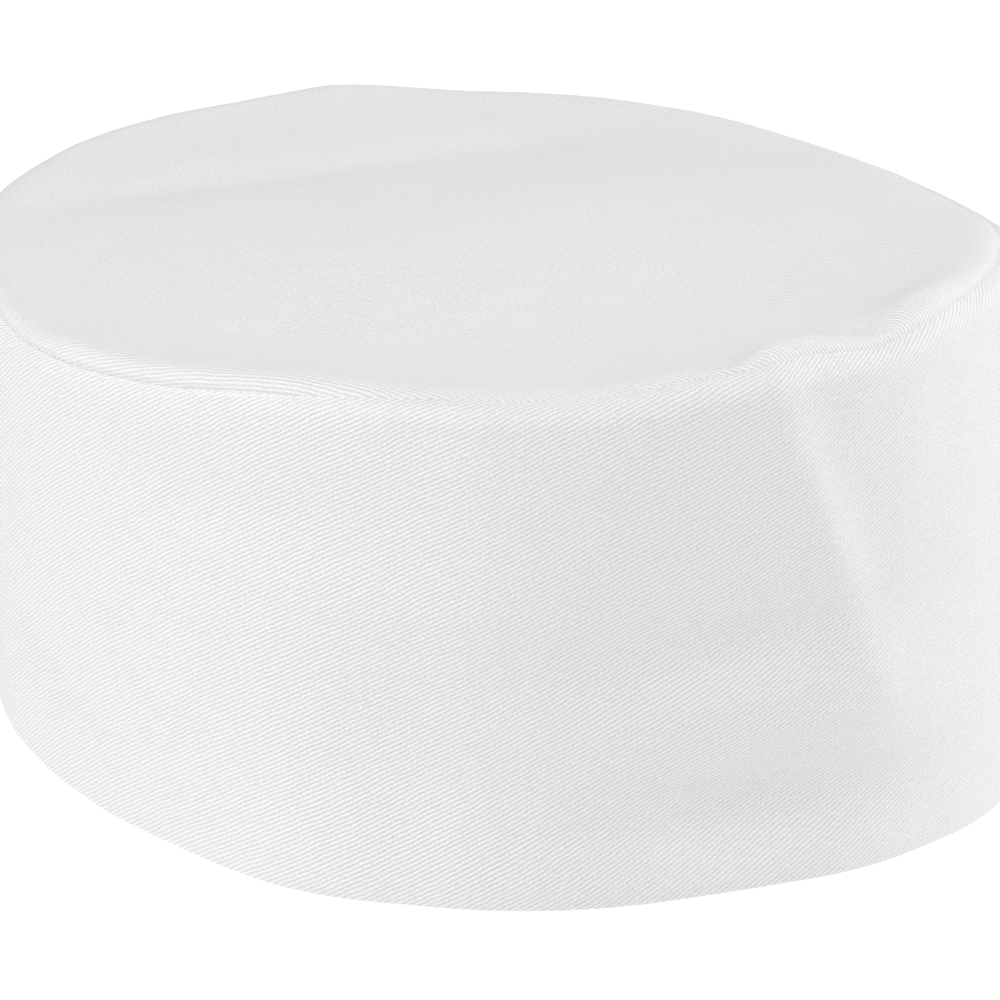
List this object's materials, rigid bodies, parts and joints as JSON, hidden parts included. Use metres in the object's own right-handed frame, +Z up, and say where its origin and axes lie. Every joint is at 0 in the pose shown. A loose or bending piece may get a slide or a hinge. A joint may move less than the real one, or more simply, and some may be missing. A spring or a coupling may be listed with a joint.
{
  "type": "chef skull cap",
  "caption": "Soft round skull cap in white cotton twill: a flat crown sewn into a tall band, open below for the head.",
  "frame": {"origin": "centre of the footprint of the whole cap, on the plane the lower edge rests on", "axes": "+Z up towards the crown, the front of the cap looks along -Y, +X points to the wearer's left"},
  "size_m": [0.1722, 0.2028, 0.0898],
  "materials": {
    "crown_twill": "white cotton twill, one layer, matt",
    "band_twill": "white cotton twill, two layers, matt, steep diagonal rib"
  },
  "bodies": {
    "root": {"crown": "crown_twill", "side_band": "band_twill"}
  },
  "joints": []
}
